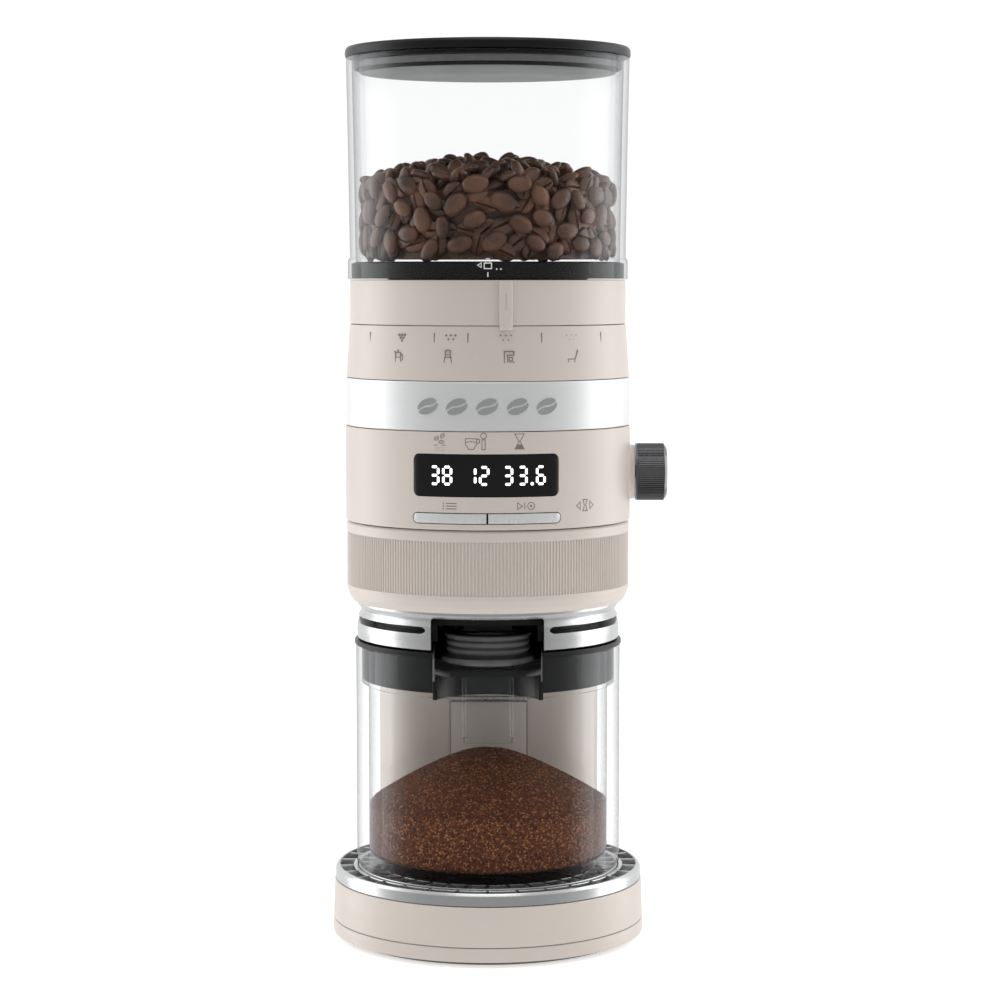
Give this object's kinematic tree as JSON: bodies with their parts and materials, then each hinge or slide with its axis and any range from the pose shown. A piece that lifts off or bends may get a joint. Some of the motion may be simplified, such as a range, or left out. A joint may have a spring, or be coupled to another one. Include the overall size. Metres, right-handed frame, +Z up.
{
  "type": "burr coffee grinder",
  "caption": "Countertop burr coffee grinder: round metal base, rear tower, glass grounds jar, dosing collar, display panel, stepped grind dial and clear bean hopper with lid.",
  "frame": {"origin": "on the floor under the burr axis, on the sole of the round foot pad", "axes": "+Z up along the burr axis, -Y to the front (display), +X to the side with the knob"},
  "size_m": [0.1543, 0.2516, 0.409],
  "materials": {
    "paint": "warm beige powder coat, satin",
    "bright_metal": "brushed",
    "steel": "satin",
    "cast_metal": "as cast",
    "dark_metal": "knurled, dark plated",
    "black_plastic": "fine moulded texture",
    "display_black": "gloss",
    "rubber": "matt",
    "clear_hopper": "clear",
    "clear_jar": "clear",
    "board_green": "solder mask",
    "nylon": "moulded",
    "bronze": "sintered"
  },
  "bodies": {
    "housing": {"foot_pad": "rubber", "rear_foot_left": "rubber", "rear_foot_right": "rubber", "base_pan": "paint", "base_weight": "cast_metal", "base_shell": "paint", "base_rim": "bright_metal", "jar_tray": "steel", "head_casing": "paint", "tower_casing": "paint", "tower_panel": "paint", "panel_trim": "bright_metal", "rear_cover": "paint", "cover_screw_1": "steel", "cover_screw_2": "steel", "cover_screw_3": "steel", "cover_screw_4": "steel", "cord_gland": "black_plastic", "control_board": "board_green", "motor_can": "steel", "motor_bell": "cast_metal", "gear_plate": "cast_metal", "idler_pin": "steel", "lower_bearing": "bronze", "upper_bearing": "bronze", "burr_housing": "cast_metal", "neck_ring": "bright_metal", "neck_core": "black_plastic", "grounds_duct": "black_plastic", "grounds_funnel": "black_plastic", "display_window": "display_black", "display_board": "board_green", "knob_encoder": "black_plastic", "trim_band": "bright_metal", "scale_ring": "paint"},
    "grind_dial": {"grind_dial": "paint"},
    "burr_carrier": {"burr_carrier": "cast_metal", "ring_burr": "steel"},
    "burr_drive": {"burr_shaft": "steel", "burr_gear": "nylon", "sweeper": "nylon", "cone_burr": "steel", "burr_bolt": "steel"},
    "idler_gear": {"idler_gear": "nylon"},
    "motor_rotor": {"motor_pinion": "steel"},
    "dose_collar": {"dose_collar": "paint"},
    "timer_knob": {"timer_knob": "dark_metal"},
    "program_button": {"program_button": "bright_metal"},
    "start_button": {"start_button": "bright_metal"},
    "bean_gate": {"bean_gate": "steel", "bayonet_ring": "black_plastic"},
    "hopper": {"bean_hopper": "clear_hopper", "hopper_funnel": "black_plastic"},
    "hopper_lid": {"hopper_lid": "black_plastic", "lid_seal": "rubber"},
    "jar": {"jar_glass": "clear_jar", "jar_lid": "black_plastic", "chute_seal": "rubber", "spout": "clear_jar"}
  },
  "joints": [
    {"name": "grind_setting", "type": "hinge", "parent": "housing", "child": "grind_dial", "pos_m": [0, 0, 0.29], "axis": [0, 0, 1], "range_deg": [-62.6, 45.2]},
    {"name": "burr_gap", "type": "slide", "parent": "housing", "child": "burr_carrier", "axis": [0, 0, 1], "range_m": [-0.0008, 0.0011]},
    {"name": "burr_spin", "type": "hinge", "parent": "housing", "child": "burr_drive", "pos_m": [0, 0, 0.24], "axis": [0, 0, 1], "continuous": true},
    {"name": "idler_spin", "type": "hinge", "parent": "housing", "child": "idler_gear", "pos_m": [0, 0.063, 0.209], "axis": [0, 0, 1], "continuous": true},
    {"name": "motor_spin", "type": "hinge", "parent": "housing", "child": "motor_rotor", "pos_m": [0, 0.1065, 0.209], "axis": [0, 0, 1], "continuous": true},
    {"name": "dose_setting", "type": "hinge", "parent": "housing", "child": "dose_collar", "pos_m": [0, 0, 0.175], "axis": [0, 0, 1], "continuous": true},
    {"name": "timer_turn", "type": "hinge", "parent": "housing", "child": "timer_knob", "pos_m": [0.06, 0, 0.2155], "axis": [1, 0, 0], "continuous": true},
    {"name": "program_press", "type": "slide", "parent": "housing", "child": "program_button", "axis": [0, 1, 0], "range_m": [0, 0.0008], "stiffness_N_per_m": 400},
    {"name": "start_press", "type": "slide", "parent": "housing", "child": "start_button", "axis": [0, 1, 0], "range_m": [0, 0.0008], "stiffness_N_per_m": 400},
    {"name": "hopper_twist", "type": "hinge", "parent": "housing", "child": "bean_gate", "pos_m": [0, 0, 0.297], "axis": [0, 0, 1], "range_deg": [0, 30]},
    {"name": "hopper_lift", "type": "slide", "parent": "bean_gate", "child": "hopper", "axis": [0, 0, 1], "range_m": [0, 0.06]},
    {"name": "lid_lift", "type": "slide", "parent": "hopper", "child": "hopper_lid", "axis": [0, 0, 1], "range_m": [0, 0.04]},
    {"name": "jar_slide", "type": "slide", "parent": "housing", "child": "jar", "axis": [0, -1, 0], "range_m": [0, 0.15]}
  ],
  "couplings": [
    {"joint": "burr_gap", "follows": "grind_setting", "m_per_rad": -0.001},
    {"joint": "idler_spin", "follows": "burr_spin", "ratio": -0.90909},
    {"joint": "motor_spin", "follows": "burr_spin", "ratio": 2.8571}
  ]
}
